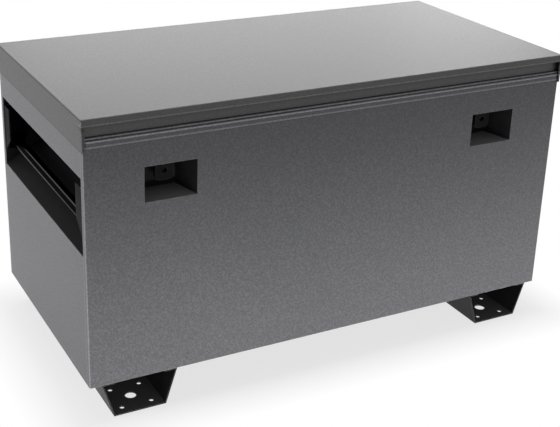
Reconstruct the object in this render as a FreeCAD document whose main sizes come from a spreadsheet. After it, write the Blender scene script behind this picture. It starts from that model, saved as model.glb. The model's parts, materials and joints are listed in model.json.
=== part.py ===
"""Jobsite storage box: sheet-steel body on two skids, hinged lid on two gas struts.

Frame: millimetres, +X along the box to its right end, +Y to its back, +Z up.
The origin lies on the floor, below the centre of the whole box.
"""

import FreeCAD, Part
import math
import os

import Sketcher

PARTS_FOLDER = "parts"
SIDES = (("left", -1), ("right", 1))
ENDS = (-1, 1)

# ---------------------------------------------------------------- driving dimensions

SIZES = (
    ("box_width", 1214, "body, outside of one end sheet to the other"),
    ("box_depth", 607, "body, front face to back face"),
    ("body_height", 569, "body, underside to rim"),
    ("body_sheet", 1.5, "sheet of the body, the lid and the black pans"),
    ("corner_return", 15, "front and back panels, flange round each corner"),
    ("corner_bend", 3, "outside radius of the bent corners"),
    ("skid_height", 85, "floor to the underside of the body"),
    ("skid_spread", 983, "one skid's middle to the other's"),
    ("skid_top", 177, "skid, width at the top"),
    ("skid_foot", 123, "skid, width at the floor"),
    ("skid_flange", 30, "skid, width of each top flange"),
    ("skid_sheet", 3, "sheet of the skids"),
    ("caster_across", 70, "caster holes, apart along the box"),
    ("caster_along", 76, "caster holes, apart from front to back"),
    ("caster_hole", 11, "caster bolt hole, diameter"),
    ("caster_centre", 26, "caster king-pin hole, diameter"),
    ("caster_inset", 61, "caster pattern's middle, in from the end of the skid"),
    ("bolt_size", 8, "skid bolt, thread diameter"),
    ("bolt_head", 18, "skid bolt, head diameter"),
    ("bolt_head_thick", 4, "skid bolt, head height"),
    ("bolt_tail", 3, "skid bolt, thread past the nut"),
    ("bolt_inset", 63, "skid bolts, in from the end of the skid"),
    ("nut_size", 13, "skid nut, across flats"),
    ("nut_thick", 6.5, "skid nut, height"),
    ("lid_gap", 3, "rim to the lid's lower edge"),
    ("lid_height", 40, "lid, lower edge to top"),
    ("lid_lip", 15.5, "lid, height of the front lip"),
    ("side_overhang", 2.5, "lid past the body at each end"),
    ("front_overhang", 4, "lid past the body at the front"),
    ("skirt_drop", 27, "lid skirts, below the lid's lower edge"),
    ("skirt_return", 7, "lid skirts, wrap round the front corner"),
    ("skirt_bend", 3.5, "lid skirts, outside bend radius"),
    ("skirt_flange", 25, "lid skirts, flange under the top sheet"),
    ("front_rail_setback", 12, "lid's front rail, behind the lip's face"),
    ("front_rail_leg", 16, "lid's front rail, depth of its legs"),
    ("stiffener_width", 70, "lid stiffener, across its flanges"),
    ("stiffener_drop", 20, "lid stiffener, depth"),
    ("stiffener_flange", 15, "lid stiffener, each flange"),
    ("stiffener_length", 1140, "lid stiffener, along the box"),
    ("stiffener_front", 170, "front stiffener's middle, behind the body's front face"),
    ("stiffener_rear", 440, "rear stiffener's middle, behind the body's front face"),
    ("header_height", 20, "front header, height of its back flange"),
    ("header_depth", 20, "front header, front to back"),
    ("header_inset", 8, "front header's band, short of each end of the body"),
    ("ledge_drop", 5, "front header, rim down to its ledge"),
    ("ledge_depth", 4, "front header, depth of its ledge"),
    ("rail_width", 28, "rim rails, width"),
    ("rail_drop", 25, "rim rails, depth of the inner flange"),
    ("seal_width", 12, "rim seal, width"),
    ("seal_inset", 9, "rim seal, in from the rim's outer edge"),
    ("recess_low", 60, "handle recess, lower edge below the handle tube's axis"),
    ("recess_high", 115, "handle recess, upper edge above the handle tube's axis"),
    ("recess_depth", 90, "handle recess, into the box"),
    ("recess_rise", 58, "handle recess, rise of its sloping floor"),
    ("recess_flange", 20, "handle recess, flange behind the end sheets"),
    ("handle_size", 27, "handle tube, outside diameter"),
    ("handle_wall", 2, "handle tube, wall"),
    ("handle_inset", 28, "handle tube's axis, in from the end of the body"),
    ("handle_height", 367, "handle tube's axis, above the body's underside"),
    ("bracket_reach", 41, "handle bracket, leg along the opening"),
    ("bracket_depth", 52, "handle bracket, leg into the recess"),
    ("bracket_sheet", 3, "sheet of the handle brackets"),
    ("bracket_top", 92, "handle bracket, top above the handle tube's axis"),
    ("bracket_shoulder", 14, "handle bracket, upper end of its chamfer above the tube's axis"),
    ("bracket_bottom", 22, "handle bracket, lower end of its chamfer below the tube's axis"),
    ("collar_size", 40, "handle collar, diameter"),
    ("collar_thick", 5, "handle collar, length"),
    ("pocket_spread", 832, "one lock pocket's middle to the other's"),
    ("pocket_height", 452, "lock pocket's middle, above the body's underside"),
    ("pocket_width", 120, "lock pocket, opening along the box"),
    ("pocket_tall", 80, "lock pocket, height of the opening"),
    ("pocket_depth", 76, "lock pocket, into the box"),
    ("pocket_taper", 19, "lock pocket, each side wall leans in"),
    ("pocket_roof_taper", 5, "lock pocket, the roof leans down"),
    ("pocket_flange", 15, "lock pocket, flange behind the front panel"),
    ("tongue_width", 40, "lock tongue and staple, along the box"),
    ("tongue_thick", 5, "lock tongue and staple, thickness"),
    ("tongue_corner", 10, "lock tongue and staple, radius of their free corners"),
    ("tongue_setback", 38.5, "lock tongue's face, behind the body's front face"),
    ("tongue_foot", 34, "lock tongue, foot under the lid"),
    ("tongue_swing", 13, "slot in the pocket's roof, room in front of the tongue"),
    ("staple_gap", 2, "lock tongue to staple"),
    ("padlock_hole", 14, "padlock hole, diameter"),
    ("padlock_height", 462, "padlock hole, above the body's underside"),
    ("padlock_margin", 22, "padlock hole's middle to the end of its plate"),
    ("knuckle", 7, "hinge knuckle, diameter"),
    ("knuckle_length", 30, "hinge, pitch of the knuckles"),
    ("hinge_pin_size", 4, "hinge pin, diameter"),
    ("hinge_inset", 20, "hinge, at least this far in from each end of the body"),
    ("hinge_sheet", 1.2, "hinge leaves, sheet"),
    ("leaf_height", 25, "hinge leaf, pin to edge"),
    ("rivet_line", 14, "hinge rivets, pin to rivet"),
    ("rivet_pitch", 100, "hinge rivets, apart"),
    ("rivet_inset", 30, "hinge rivets, at least this far in from each end of the hinge"),
    ("rivet_shank", 4.8, "rivet, shank diameter"),
    ("rivet_tail", 6.7, "rivet, diameter of its set tail"),
    ("rivet_head", 9, "rivet, head diameter"),
    ("rivet_head_thick", 1.6, "rivet, head height"),
    ("strut_inset", 49.5, "strut's plane, in from the end of the body"),
    ("strut_ahead", 70, "strut's lower pivot, ahead of the body's back face"),
    ("strut_lift", 25.5, "strut's lower pivot, above the handle recess"),
    ("strut_arm", 293.5, "strut's upper pivot, ahead of the hinge"),
    ("strut_drop", 34.5, "strut's upper pivot, below the lid's top sheet"),
    ("strut_tube", 18, "strut cylinder, diameter"),
    ("strut_wall", 1.2, "strut cylinder, wall"),
    ("strut_cap", 4, "strut cylinder, end caps"),
    ("strut_tube_length", 176, "strut cylinder, length"),
    ("strut_neck", 14, "strut, pivot to the start of the cylinder"),
    ("strut_rod", 8, "strut rod, diameter"),
    ("piston_length", 8, "strut rod, length of its piston"),
    ("eye_size", 16, "strut eye, diameter"),
    ("eye_thick", 8, "strut eye, thickness"),
    ("eye_neck", 10, "strut eye, diameter of its neck"),
    ("stud_size", 8, "strut pivot studs, diameter"),
    ("stud_head", 12, "strut pivot studs, head diameter"),
    ("stud_reach", 6, "strut eye to the bracket plates"),
    ("plate_sheet", 3, "strut brackets, sheet"),
    ("plate_width", 44, "strut brackets, along the depth of the box"),
    ("plate_foot", 16, "strut brackets, width of the foot"),
    ("plate_edge", 10, "strut brackets, pivot to the plate's edge"),
    ("plate_rivet", 13, "strut bracket rivets, either side of the pivot"),
    ("running_fit", 0.05, "radial clearance of pins and rods in their bores"),
    ("weld_fit", 0.1, "radial clearance of round pieces held in holes"),
    ("free_gap", 0.3, "clearance between pieces that move past each other"),
)
# Share of a bolt's or rivet's head that its rounding takes up.
HEAD_ROUNDING = 0.8
# Two places closer than this are the same place.
SAME_PLACE = 0.01


class Size:
    """A number written in terms of the spreadsheet's cells."""

    def __init__(self, text):
        self.text = str(text)

    def __str__(self):
        return self.text

    def __add__(self, other):
        return Size(f"({self} + {other})")

    def __radd__(self, other):
        return Size(f"({other} + {self})")

    def __sub__(self, other):
        return Size(f"({self} - {other})")

    def __rsub__(self, other):
        return Size(f"({other} - {self})")

    def __mul__(self, other):
        return Size(f"({self} * {other})")

    def __rmul__(self, other):
        return Size(f"({other} * {self})")

    def __truediv__(self, other):
        return Size(f"({self} / {other})")

    def __neg__(self):
        return Size(f"(-1 * {self})")


def root(size):
    """Square root of a size."""
    return Size(f"sqrt({size})")


doc = FreeCAD.newDocument("StorageBox")
table = doc.addObject("Spreadsheet::Sheet", "Sizes")


def write_sizes():
    """Writes the driving dimensions, and returns them by name."""
    sizes = {}
    for row, (name, number, note) in enumerate(SIZES, start=1):
        table.set(f"A{row}", name)
        table.set(f"B{row}", str(number))
        table.set(f"C{row}", note)
        table.setAlias(f"B{row}", name)
        sizes[name] = Size(f"Sizes.{name}")
    doc.recompute()
    return sizes


class Named:
    """The driving dimensions as attributes, each a Size."""

    def __init__(self, sizes):
        self.__dict__.update(sizes)


dim = Named(write_sizes())


def value(size):
    """The number that a size has now."""
    return float(table.evalExpression(str(size)))


# ---------------------------------------------------------------- modelling helpers

# The sketch's own x and y run along the first and second axis of the plane's name.
PLANES = {"XY": ("XY_Plane", 1), "XZ": ("XZ_Plane", -1), "YZ": ("YZ_Plane", 1)}


def new_body(label):
    """An empty body, whose label names its file."""
    body = doc.addObject("PartDesign::Body", label)
    body.Label = label
    body.AllowCompound = True
    return body


def rectangle(x_low, x_high, y_low, y_high):
    """The four corners of an upright rectangle."""
    return [(x_low, y_low), (x_high, y_low), (x_high, y_high), (x_low, y_high)]


def hold(drawing, kind, geometry, size, point=1):
    """A horizontal or vertical distance from the origin, for one point of the drawing."""
    constraint = Sketcher.Constraint(kind, -1, 1, geometry, point, value(size))
    index = drawing.addConstraint(constraint)
    drawing.setExpression(f"Constraints[{index}]", str(size))


def draw_outline(drawing, points):
    """A closed outline of straight lines through the points."""
    first = drawing.GeometryCount
    count = len(points)
    places = [FreeCAD.Vector(value(x), value(y), 0) for x, y in points]
    lines = [Part.LineSegment(places[i], places[(i + 1) % count]) for i in range(count)]
    drawing.addGeometry(lines, False)
    joints = [
        Sketcher.Constraint("Coincident", first + i, 2, first + (i + 1) % count, 1)
        for i in range(count)
    ]
    drawing.addConstraint(joints)
    for i, (x, y) in enumerate(points):
        hold(drawing, "DistanceX", first + i, x)
        hold(drawing, "DistanceY", first + i, y)


def draw_circle(drawing, x, y, radius):
    """A circle about a point."""
    index = drawing.GeometryCount
    centre = FreeCAD.Vector(value(x), value(y), 0)
    normal = FreeCAD.Vector(0, 0, 1)
    drawing.addGeometry(Part.Circle(centre, normal, value(radius)), False)
    hold(drawing, "DistanceX", index, x, point=3)
    hold(drawing, "DistanceY", index, y, point=3)
    bound = drawing.addConstraint(Sketcher.Constraint("Radius", index, value(radius)))
    drawing.setExpression(f"Constraints[{bound}]", str(radius))


def sketch(body, plane, level, outlines=(), circles=()):
    """A sketch parallel to one of the body's own planes, at a level along the third axis."""
    role, sign = PLANES[plane]
    support = [item for item in body.Origin.OriginFeatures if item.Role == role][0]
    drawing = body.newObject("Sketcher::SketchObject", f"{body.Name}_sketch")
    drawing.AttachmentSupport = [(support, "")]
    drawing.MapMode = "FlatFace"
    drawing.setExpression("AttachmentOffset.Base.z", str(sign * level))
    for points in outlines:
        draw_outline(drawing, points)
    for x, y, radius in circles:
        draw_circle(drawing, x, y, radius)
    return drawing


def prism(body, plane, low, high, outlines=(), circles=(), cut=False):
    """Adds or cuts a straight prism between two levels along the plane's normal."""
    drawing = sketch(body, plane, (low + high) / 2, outlines, circles)
    kind = "Pocket" if cut else "Pad"
    feature = body.newObject(f"PartDesign::{kind}", f"{body.Name}_{kind}")
    feature.Profile = drawing
    feature.SideType = "Symmetric"
    feature.setExpression("Length", str(high - low))
    return feature


def loft(body, plane, sections, cut=False):
    """Adds or cuts a loft through outlines at their levels."""
    drawings = [sketch(body, plane, level, [points]) for level, points in sections]
    kind = "SubtractiveLoft" if cut else "AdditiveLoft"
    feature = body.newObject(f"PartDesign::{kind}", f"{body.Name}_{kind}")
    feature.Profile = drawings[0]
    feature.Sections = drawings[1:]
    feature.Ruled = True
    return feature


def turn(body, plane, level, points, cut=False):
    """Adds or cuts an outline turned about the sketch's own x axis."""
    drawing = sketch(body, plane, level, [points])
    kind = "Groove" if cut else "Revolution"
    feature = body.newObject(f"PartDesign::{kind}", f"{body.Name}_{kind}")
    feature.Profile = drawing
    feature.ReferenceAxis = (drawing, ["H_Axis"])
    feature.Angle = 360
    return feature


def round_edges(body, radius, chosen):
    """Rounds the edges of the body so far for which chosen(edge) is true."""
    doc.recompute()
    base = body.Tip
    edges = enumerate(base.Shape.Edges, start=1)
    names = [f"Edge{index}" for index, edge in edges if chosen(edge)]
    fillet = body.newObject("PartDesign::Fillet", f"{body.Name}_Fillet")
    fillet.Base = (base, names)
    fillet.setExpression("Radius", str(radius))
    return fillet


def runs_through(axis, spots):
    """A test for straight edges along an axis through spots given by the two other coordinates."""
    others = [i for i in range(3) if i != "XYZ".index(axis)]
    places = [(value(a), value(b)) for a, b in spots]

    def chosen(edge):
        box = edge.BoundBox
        low = (box.XMin, box.YMin, box.ZMin)
        high = (box.XMax, box.YMax, box.ZMax)
        return any(
            all(abs(end[i] - place[k]) < SAME_PLACE for k, i in enumerate(others) for end in (low, high))
            for place in places
        )

    return chosen


def lies_at(axis, level):
    """A test for edges that lie wholly at one level of an axis."""
    index = "XYZ".index(axis)
    place = value(level)

    def chosen(edge):
        box = edge.BoundBox
        low = (box.XMin, box.YMin, box.ZMin)[index]
        high = (box.XMax, box.YMax, box.ZMax)[index]
        return abs(low - place) < SAME_PLACE and abs(high - place) < SAME_PLACE

    return chosen


# ---------------------------------------------------------------- main levels and faces

sheet = dim.body_sheet

whole_depth = dim.front_overhang + dim.box_depth + dim.knuckle
front = dim.front_overhang - whole_depth / 2
back = front + dim.box_depth
side = dim.box_width / 2
under = dim.skid_height
rim = under + dim.body_height
front_inside = front + sheet
back_inside = back - sheet
side_inside = side - sheet
inner_bend = dim.corner_bend - sheet

lid_edge = rim + dim.lid_gap
lid_top = lid_edge + dim.lid_height
lid_under = lid_top - sheet
lid_side = side + dim.side_overhang
lid_front = front - dim.front_overhang

hinge_y = back + dim.knuckle / 2
hinge_z = rim + dim.lid_gap / 2

# ---------------------------------------------------------------- body sheets


def make_floor():
    """Flat floor between the four walls, with holes for the skid bolts."""
    body = new_body("floor_sheet")
    plan = rectangle(-side_inside, side_inside, front_inside, back_inside)
    prism(body, "XY", under, under + sheet, [plan])
    corners = [(x, y) for x in (-side_inside, side_inside) for y in (front_inside, back_inside)]
    round_edges(body, inner_bend, runs_through("Z", corners))
    holes = [(x, y, dim.bolt_size / 2 + dim.weld_fit) for x, y in skid_bolt_places()]
    prism(body, "XY", under, under + sheet, circles=holes, cut=True)


def wall_with_returns(label, face, inside, turned_to, top):
    """A full-width wall whose ends are bent round the corners."""
    body = new_body(label)
    plan = [
        (-side, face),
        (side, face),
        (side, turned_to),
        (side_inside, turned_to),
        (side_inside, inside),
        (-side_inside, inside),
        (-side_inside, turned_to),
        (-side, turned_to),
    ]
    prism(body, "XY", under, top, [plan])
    round_edges(body, dim.corner_bend, runs_through("Z", [(-side, face), (side, face)]))
    inner_corners = [(-side_inside, inside), (side_inside, inside)]
    round_edges(body, inner_bend, runs_through("Z", inner_corners))
    return body


def pocket_window(x):
    """The lock pocket's opening in the front panel."""
    middle = under + dim.pocket_height
    half_width = dim.pocket_width / 2
    half_tall = dim.pocket_tall / 2
    return rectangle(x - half_width, x + half_width, middle - half_tall, middle + half_tall)


def make_front_panel():
    """Front wall with a window for each lock pocket."""
    top = rim - dim.ledge_drop - sheet
    body = wall_with_returns("front_panel", front, front_inside, front + dim.corner_return, top)
    windows = [pocket_window(sign * dim.pocket_spread / 2) for _, sign in SIDES]
    prism(body, "XZ", front, front_inside, windows, cut=True)


def make_back_panel():
    """Back wall with the holes of the hinge rivets."""
    body = wall_with_returns("back_panel", back, back_inside, back - dim.corner_return, rim)
    holes = rivet_circles(hinge_z - dim.rivet_line)
    prism(body, "XZ", back_inside, back, circles=holes, cut=True)


def make_end_sheets(name, sign):
    """End wall in two sheets, above and below the handle recess."""
    y_low = front + dim.corner_return
    y_high = back - dim.corner_return
    spans = (
        (f"{name}_end_lower", under, recess_bottom),
        (f"{name}_end_upper", recess_top, rim),
    )
    for label, low, high in spans:
        body = new_body(label)
        section = rectangle(sign * side_inside, sign * side, low, high)
        prism(body, "XZ", y_low, y_high, [section])


def make_front_header():
    """Channel along the top of the front, with a proud band and a stepped ledge."""
    body = new_body("front_header")
    bottom = rim - dim.header_height
    ledge = rim - dim.ledge_drop
    proud = front - sheet
    riser = front + dim.ledge_depth
    rear = front + dim.header_depth
    channel = [
        (proud, ledge - sheet),
        (proud, ledge),
        (riser, ledge),
        (riser, rim),
        (rear, rim),
        (rear, bottom),
        (rear - sheet, bottom),
        (rear - sheet, rim - sheet),
        (riser + sheet, rim - sheet),
        (riser + sheet, ledge - sheet),
    ]
    prism(body, "YZ", -side_inside, side_inside, [channel])
    half_band = side - dim.header_inset
    prism(body, "YZ", -half_band, half_band, [rectangle(proud, front, bottom, ledge - sheet)])


def angle_section(outer, inner, low, high, sheet_thick):
    """An angle with its flat leg on top and its other leg at the inner edge."""
    step = sheet_thick if value(outer) > value(inner) else -sheet_thick
    return [
        (outer, high),
        (inner, high),
        (inner, low),
        (inner + step, low),
        (inner + step, high - sheet_thick),
        (outer, high - sheet_thick),
    ]


def make_rim_rails():
    """Angles that stiffen the rim along both ends and the back."""
    low = rim - dim.rail_drop
    rear_line = back_inside - dim.rail_width
    for name, sign in SIDES:
        body = new_body(f"{name}_rim_rail")
        inner = sign * (side_inside - dim.rail_width)
        section = angle_section(sign * side_inside, inner, low, rim, sheet)
        prism(body, "XZ", front + dim.header_depth, rear_line, [section])
    body = new_body("rear_rim_rail")
    section = angle_section(back_inside, rear_line, low, rim, sheet)
    prism(body, "YZ", -side_inside, side_inside, [section])
    corners = [(-side_inside, back_inside), (side_inside, back_inside)]
    round_edges(body, inner_bend, runs_through("Z", corners))


def make_rim_seal():
    """Rubber strip all round the rim, just under the lid."""
    body = new_body("rim_seal")
    x_out = side_inside - dim.seal_inset
    y_low = front + dim.seal_inset
    y_high = back_inside - dim.seal_inset
    outer = rectangle(-x_out, x_out, y_low, y_high)
    x_in = x_out - dim.seal_width
    inner = rectangle(-x_in, x_in, y_low + dim.seal_width, y_high - dim.seal_width)
    prism(body, "XY", rim, lid_edge - dim.free_gap, [outer, inner])


# ---------------------------------------------------------------- side handles

recess_front = front + dim.corner_return
recess_back = back - dim.corner_return
handle_z = under + dim.handle_height
recess_bottom = handle_z - dim.recess_low
recess_top = handle_z + dim.recess_high
recess_roof = recess_top + sheet


def make_handle_recess(name, sign):
    """Pan behind the opening in the end wall: sloping floor, back wall, roof and two ends."""
    body = new_body(f"{name}_handle_recess")
    low = recess_bottom
    high = recess_top
    deep = side_inside - dim.recess_depth
    slope = dim.recess_rise / dim.recess_depth
    sloped_sheet = sheet * root(1 + slope * slope)
    outer = [
        (sign * side_inside, low - sloped_sheet),
        (sign * (deep - sheet), low - sloped_sheet + slope * (dim.recess_depth + sheet)),
        (sign * (deep - sheet), high + sheet),
        (sign * side_inside, high + sheet),
    ]
    inner = [
        (sign * side_inside, low),
        (sign * deep, low + dim.recess_rise),
        (sign * deep, high),
        (sign * side_inside, high),
    ]
    prism(body, "XZ", recess_front - sheet, recess_back + sheet, [outer])
    flange_face = sign * (side_inside - sheet)
    spans = ((low - dim.recess_flange, low), (high + sheet, high + dim.recess_flange))
    flanges = [rectangle(flange_face, sign * side_inside, start, end) for start, end in spans]
    for flange in flanges:
        prism(body, "XZ", recess_front, recess_back, [flange])
    prism(body, "XZ", recess_front, recess_back, [inner], cut=True)
    holes = [(sign * x, y, dim.rivet_shank / 2 + dim.weld_fit) for x, y in plate_rivet_places()]
    prism(body, "XY", high, high + sheet, circles=holes, cut=True)


def make_handle_tube(name, sign):
    """Round tube from one end of the recess to the other."""
    body = new_body(f"{name}_handle_tube")
    x = sign * (side - dim.handle_inset)
    outer = dim.handle_size / 2
    rings = [(x, handle_z, outer), (x, handle_z, outer - dim.handle_wall)]
    prism(body, "XZ", recess_front, recess_back, circles=rings)


def make_handle_brackets(name, sign):
    """An angle at each end of the handle: one leg holds the tube, the other faces outwards."""
    body = new_body(f"{name}_handle_brackets")
    top = handle_z + dim.bracket_top
    shoulder = handle_z + dim.bracket_shoulder
    bottom = handle_z - dim.bracket_bottom
    outer = sign * side_inside
    inner = sign * (side_inside - dim.bracket_depth)
    slope = dim.recess_rise / dim.recess_depth
    recess_floor = recess_bottom + slope * dim.bracket_depth
    hole = (sign * (side - dim.handle_inset), handle_z, dim.handle_size / 2 + dim.weld_fit)
    for wall, away in ((recess_front, 1), (recess_back, -1)):
        face = wall + away * dim.bracket_sheet
        reach = wall + away * dim.bracket_reach
        facing = [(wall, top), (reach, top), (reach, shoulder), (face, bottom), (wall, bottom)]
        prism(body, "YZ", *ordered(outer, outer - sign * dim.bracket_sheet), [facing])
        holding = [(outer, top), (inner, top), (inner, recess_floor + dim.bracket_sheet), (outer, bottom)]
        prism(body, "XZ", *ordered(wall, face), [holding])
        prism(body, "XZ", *ordered(wall, face), circles=[hole], cut=True)


def ordered(first, second):
    """Two sizes, the lower one first."""
    return (first, second) if value(first) < value(second) else (second, first)


def make_handle_collars(name, sign):
    """A ring round each end of the tube, against its bracket."""
    body = new_body(f"{name}_handle_collars")
    x = sign * (side - dim.handle_inset)
    rings = [(x, handle_z, dim.collar_size / 2), (x, handle_z, dim.handle_size / 2 + dim.weld_fit)]
    for wall, away in ((recess_front, 1), (recess_back, -1)):
        start = wall + away * dim.bracket_sheet
        prism(body, "XZ", *ordered(start, start + away * dim.collar_thick), circles=rings)


# ---------------------------------------------------------------- lock pockets

tongue_front = front + dim.tongue_setback
tongue_back = tongue_front + dim.tongue_thick
padlock_z = under + dim.padlock_height
pocket_floor = under + dim.pocket_height - dim.pocket_tall / 2
pocket_roof = pocket_floor + dim.pocket_tall


def pocket_section(x, depth_share, wall):
    """The pocket's section at a share of its depth, grown by a wall."""
    half = dim.pocket_width / 2 - depth_share * dim.pocket_taper + wall
    roof = pocket_roof - depth_share * dim.pocket_roof_taper + wall
    return rectangle(x - half, x + half, pocket_floor - wall, roof)


def make_lock_pocket(name, sign):
    """Tapered pan behind the window, with a slot in its roof for the lid's tongue."""
    body = new_body(f"{name}_lock_pocket")
    x = sign * dim.pocket_spread / 2
    mouth = front_inside
    end = mouth + dim.pocket_depth
    loft(body, "XZ", [(mouth, pocket_section(x, 0, sheet)), (end + sheet, pocket_section(x, 1, sheet))])
    flange = pocket_section(x, 0, dim.pocket_flange)
    prism(body, "XZ", mouth, mouth + sheet, [flange])
    loft(body, "XZ", [(mouth, pocket_section(x, 0, 0)), (end, pocket_section(x, 1, 0))], cut=True)
    half = dim.tongue_width / 2 + dim.staple_gap
    slot = rectangle(x - half, x + half, tongue_front - dim.tongue_swing, tongue_back + dim.staple_gap)
    below_roof = pocket_roof - dim.pocket_roof_taper - sheet
    above_roof = pocket_roof + sheet + sheet
    prism(body, "XY", below_roof, above_roof, [slot], cut=True)


def pocket_roof_at(y):
    """Level of the pocket's leaning roof at a place along its depth."""
    return pocket_roof - dim.pocket_roof_taper * (y - front_inside) / dim.pocket_depth


def make_lock_staple(name, sign):
    """Plate that hangs from the pocket's roof behind the tongue, with the padlock hole."""
    body = new_body(f"{name}_lock_staple")
    x = sign * dim.pocket_spread / 2
    half = dim.tongue_width / 2
    face = tongue_back + dim.staple_gap
    rear = face + dim.tongue_thick
    tip = padlock_z - dim.padlock_margin
    profile = [(face, tip), (face, pocket_roof_at(face)), (rear, pocket_roof_at(rear)), (rear, tip)]
    prism(body, "YZ", x - half, x + half, [profile])
    prism(body, "XZ", face, rear, circles=[(x, padlock_z, dim.padlock_hole / 2)], cut=True)
    round_edges(body, dim.tongue_corner, runs_through("Y", [(x - half, tip), (x + half, tip)]))


def make_lock_tongue(name, sign):
    """Plate that hangs from the lid into the pocket, with a foot welded under the lid."""
    body = new_body(f"{name}_lock_tongue")
    x = sign * dim.pocket_spread / 2
    half = dim.tongue_width / 2
    tip = padlock_z - dim.padlock_margin
    profile = [
        (tongue_front, tip),
        (tongue_front, lid_under),
        (tongue_back + dim.tongue_foot, lid_under),
        (tongue_back + dim.tongue_foot, lid_under - dim.tongue_thick),
        (tongue_back, lid_under - dim.tongue_thick),
        (tongue_back, tip),
    ]
    prism(body, "YZ", x - half, x + half, [profile])
    hole = (x, padlock_z, dim.padlock_hole / 2)
    prism(body, "XZ", tongue_front, tongue_back, circles=[hole], cut=True)
    round_edges(body, dim.tongue_corner, runs_through("Y", [(x - half, tip), (x + half, tip)]))
    bend = runs_through("X", [(tongue_front, lid_under)])
    round_edges(body, dim.tongue_thick, bend)


# ---------------------------------------------------------------- skids

def skid_bolt_places():
    """Where the bolts go through the floor and the skids' flanges."""
    across = (dim.skid_top - dim.skid_flange) / 2
    rows = (front + dim.bolt_inset, back - dim.bolt_inset)
    return [
        (sign * dim.skid_spread / 2 + edge * across, y)
        for _, sign in SIDES
        for edge in ENDS
        for y in rows
    ]


def make_skid(name, sign):
    """Open channel with leaning sides, from front to back, with caster holes in its foot."""
    body = new_body(f"{name}_skid")
    middle = sign * dim.skid_spread / 2
    top = dim.skid_top / 2
    foot = dim.skid_foot / 2
    lean = (top - foot) / under
    wall = dim.skid_sheet * root(1 + lean * lean)
    lip = top - dim.skid_flange
    inside_top = top - wall - lean * dim.skid_sheet
    inside_foot = foot - wall + lean * dim.skid_sheet
    right_half = [
        (foot, Size(0)),
        (top, under),
        (lip, under),
        (lip, under - dim.skid_sheet),
        (inside_top, under - dim.skid_sheet),
        (inside_foot, dim.skid_sheet),
    ]
    left_half = [(-x, z) for x, z in reversed(right_half)]
    section = [(middle + x, z) for x, z in right_half + left_half]
    prism(body, "XZ", front, back, [section])
    patterns = (front + dim.caster_inset, back - dim.caster_inset)
    across = dim.caster_across / 2
    along = dim.caster_along / 2
    for y in patterns:
        holes = [
            (middle + i * across, y + j * along, dim.caster_hole / 2) for i in ENDS for j in ENDS
        ]
        holes.append((middle, y, dim.caster_centre / 2))
        prism(body, "XY", Size(0), dim.skid_sheet, circles=holes, cut=True)
    bolts = [(x, y) for x, y in skid_bolt_places() if value(x) * sign > 0]
    bolt_holes = [(x, y, dim.bolt_size / 2 + dim.weld_fit) for x, y in bolts]
    prism(body, "XY", under - dim.skid_sheet, under, circles=bolt_holes, cut=True)


def make_skid_bolts():
    """Round-headed bolts, from inside the box down through the skids' flanges."""
    body = new_body("skid_bolts")
    places = skid_bolt_places()
    seat = under + sheet
    tip = under - dim.skid_sheet - dim.nut_thick - dim.bolt_tail
    head = [(x, y, dim.bolt_head / 2) for x, y in places]
    prism(body, "XY", seat, seat + dim.bolt_head_thick, circles=head)
    rounding = dim.bolt_head_thick * HEAD_ROUNDING
    round_edges(body, rounding, lies_at("Z", seat + dim.bolt_head_thick))
    shank = [(x, y, dim.bolt_size / 2) for x, y in places]
    prism(body, "XY", tip, seat, circles=shank)


def hexagon(x, y, across_flats):
    """The corners of a hexagon with two flats facing along Y."""
    corner = across_flats / math.sqrt(3)
    turns = [math.radians(60 * i) for i in range(6)]
    return [(x + corner * math.cos(a), y + corner * math.sin(a)) for a in turns]


def make_skid_nuts():
    """Hexagon nuts under the skids' flanges."""
    body = new_body("skid_nuts")
    top = under - dim.skid_sheet
    bore = dim.bolt_size / 2 + dim.weld_fit
    for x, y in skid_bolt_places():
        outline = hexagon(x, y, dim.nut_size)
        prism(body, "XY", top - dim.nut_thick, top, [outline], [(x, y, bore)])


# ---------------------------------------------------------------- lid

def make_lid_panel():
    """Top sheet of the lid, bent down into a lip in front and a flange at the back."""
    body = new_body("lid_panel")
    lip = lid_top - dim.lid_lip
    profile = [
        (lid_front, lip),
        (lid_front, lid_top),
        (back, lid_top),
        (back, lid_edge),
        (back_inside, lid_edge),
        (back_inside, lid_under),
        (lid_front + sheet, lid_under),
        (lid_front + sheet, lip),
    ]
    prism(body, "YZ", -lid_side, lid_side, [profile])
    round_edges(body, dim.corner_bend, runs_through("X", [(lid_front, lid_top), (back, lid_top)]))
    inner = [(lid_front + sheet, lid_under), (back_inside, lid_under)]
    round_edges(body, inner_bend, runs_through("X", inner))
    holes = rivet_circles(hinge_z + dim.rivet_line)
    prism(body, "XZ", back_inside, back, circles=holes, cut=True)


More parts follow.
